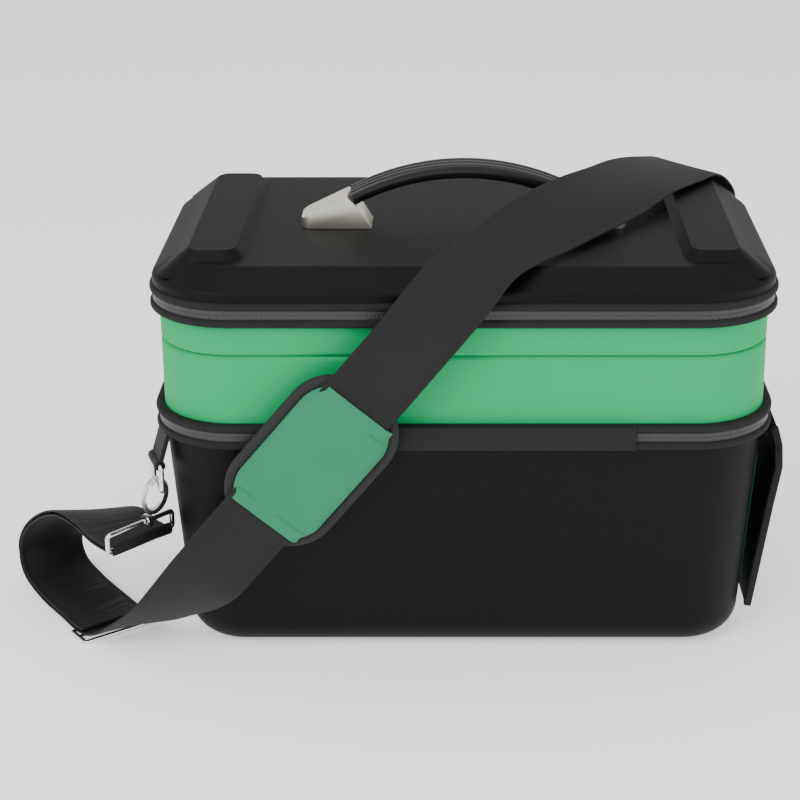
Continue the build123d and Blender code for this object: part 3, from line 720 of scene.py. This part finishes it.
# %% [markdown]
# ## Shoulder pad
# The pad is foam between two cloths, with a folded binding round its edge and a sleeve of the
# same cloth across it, which the strap runs through. Foam swells most in the middle, so the pad's
# face is a low dome. The sleeve is slack, and slack cloth on foam shows shallow diagonal folds.

# %% Pad frame
down_strap = Vector((-0.644, 0.0, -0.765)).normalized()
across_strap = Vector((-0.765, 0.0, 0.644)).normalized()
pad_centre = Vector((-0.0981, 0.0, 0.1484))
pad_half_length, pad_half_width, pad_corner = 0.0635, 0.039, 0.034
pad_y, sleeve_y = -0.1347, -0.1387


def on_pad(u, v, y):
    """Point on the pad: u down the strap, v across it, y in the row frame."""
    return pad_centre + down_strap * u + across_strap * v + Vector((0.0, y, 0.0))


def pad_outline(inset, steps=12):
    """Points and outward directions (u, v) round the pad."""
    half_u, half_v, radius = pad_half_length - inset, pad_half_width - inset, pad_corner - inset
    outline = []
    for su, sv, turn in ((1, 1, 0), (-1, 1, 90), (-1, -1, 180), (1, -1, 270)):
        for i in range(steps + 1):
            angle = math.radians(turn + 90 * i / steps)
            cu, cv = su * (half_u - radius), sv * (half_v - radius)
            cosine, sine = math.cos(angle), math.sin(angle)
            outline.append(((cu + radius * cosine, cv + radius * sine), (cosine, sine)))
    return outline


# %% Pad binding
rows = []
rim_section = rounded_section(0.0071, 0.0060, 0.0026)
for (u, v), (du, dv) in pad_outline(0.0036):
    ripple = 0.0003 * noise.noise(Vector((u * 220, v * 220, 1.0)))
    rows.append([on_pad(u + du * a, v + dv * a, pad_y + b + ripple) for a, b in rim_section])
pad_rim = loft_mesh("pad_rim", rows, "pad_grey", closed_path=True)

# %% Pad body
rings, dome_height = 12, 0.0043
vertices, faces = [], []
outline = pad_outline(0.0058)
count = len(outline)
for side in (-1, 1):
    start = len(vertices)
    for ring_index in range(rings, 0, -1):
        share = ring_index / rings
        swell = 0.0020 + 0.0023 * (1 - share**4) ** 0.6
        for (u, v), _ in outline:
            wave = 0.0004 * noise.noise(Vector((u * 60, v * 90, 3.0 * side)))
            vertices.append(on_pad(u * share, v * share, pad_y + side * swell + wave * (1 - share)))
    vertices.append(on_pad(0, 0, pad_y + side * dome_height))
    for ring_index in range(rings - 1):
        a, b = start + ring_index * count, start + (ring_index + 1) * count
        for j in range(count):
            k = (j + 1) % count
            face = (a + j, a + k, b + k, b + j)
            faces.append(face if side < 0 else face[::-1])
    a, centre = start + (rings - 1) * count, len(vertices) - 1
    for j in range(count):
        face = (a + j, a + (j + 1) % count, centre)
        faces.append(face if side < 0 else face[::-1])
back = rings * count + 1
for j in range(count):
    k = (j + 1) % count
    faces.append((j, back + j, back + k, k))
pad_body = new_object("pad_body", vertices, faces, "pad_green")


# %% Webbing sleeve on the pad
def sleeve_reach(u):
    """Half the sleeve's width, which follows the pad's outline down to the webbing's width."""
    beyond = max(0.0, abs(u) - 0.0295)
    return max(0.0272, min(0.0322, 0.005 + math.sqrt(max(0.0, 0.0275**2 - beyond**2))))


rows = []
for i in range(61):
    u = -0.050 + 0.100 * i / 60
    reach = sleeve_reach(u)
    outer, inner = [], []
    for j in range(33):
        v = reach * (j / 16 - 1)
        lift = 0.0036 * min(1.0, max(0.0, (reach - abs(v)) / 0.0045)) ** 0.6
        slack = noise.noise(Vector((u * 38 + v * 16, v * 60 - u * 26, 7.0)))
        fold = 0.0030 * max(0.0, slack + 0.05) * min(1.0, (0.051 - abs(u)) / 0.012) * min(1.0, lift / 0.003)
        outer.append(on_pad(u, v, sleeve_y - lift - fold))
        inner.append(on_pad(u, v * 0.985, sleeve_y - max(lift - 0.0008, 0.0) - fold + 0.0001))
    rows.append(outer + inner[::-1])
sleeve = loft_mesh("pad_cloth_sleeve", rows, "pad_green")

# %% Pad stitches
pad_seams = []
for end in (-1, 1):
    seam = [on_pad(end * 0.041, -0.026 + 0.052 * i / 20, -0.1427) for i in range(21)]
    pad_seams.append(
        repeats(
            f"sleeve_stitches_{end}",
            seam,
            "thread_green",
            Spacing=0.0042,
            Radius=0.0003,
            Length=0.0026,
        )
    )
rim_seam = [on_pad(u, v, -0.1371) for (u, v), _ in pad_outline(0.0066, steps=20)]
pad_seams.append(
    repeats(
        "rim_stitches",
        rim_seam,
        "thread_dark",
        closed=True,
        Spacing=0.0036,
        Radius=0.00022,
        Length=0.0022,
    )
)
for piece in (pad_rim, pad_body, sleeve, *pad_seams):
    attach(piece, "pad")
    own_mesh(piece)
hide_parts("shoulder_pad")
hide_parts("pad_binding")
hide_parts("pad_sleeve")
print("pad pieces", 3 + len(pad_seams))

# %% [markdown]
# ## Stage
# A pale floor and a white world, with three large soft lamps, as in a product studio.

# %% Floor and lights
bpy.ops.mesh.primitive_plane_add(size=12)
floor = bpy.context.object
floor.name = "floor"
floor_finish = finish("floor", (0.93, 0.93, 0.93), 0.9)
glow = floor_finish.node_tree.nodes["Principled BSDF"].inputs
glow["Emission Color"].default_value = (1.0, 1.0, 1.0, 1.0)
glow["Emission Strength"].default_value = 0.55
floor.data.materials.append(floor_finish)

world = bpy.data.worlds.new("world")
world.use_nodes = True
world.node_tree.nodes["Background"].inputs["Color"].default_value = (1.0, 1.0, 1.0, 1.0)
world.node_tree.nodes["Background"].inputs["Strength"].default_value = 0.9
bpy.context.scene.world = world


def soft_lamp(name, place, aim, size, power):
    """Large square lamp that looks at a point."""
    data = bpy.data.lights.new(name, "AREA")
    data.size = size
    data.energy = power
    lamp = bpy.data.objects.new(name, data)
    bpy.context.collection.objects.link(lamp)
    lamp.location = place
    lamp.rotation_euler = (Vector(aim) - Vector(place)).to_track_quat("-Z", "Y").to_euler()


soft_lamp("key", (-1.1, -1.4, 1.5), (0, 0, 0.15), 1.2, 26)
soft_lamp("fill", (1.5, -1.3, 0.9), (0, 0, 0.15), 1.2, 14)
soft_lamp("top", (0.0, -0.2, 2.0), (0, 0, 0.2), 1.4, 8)
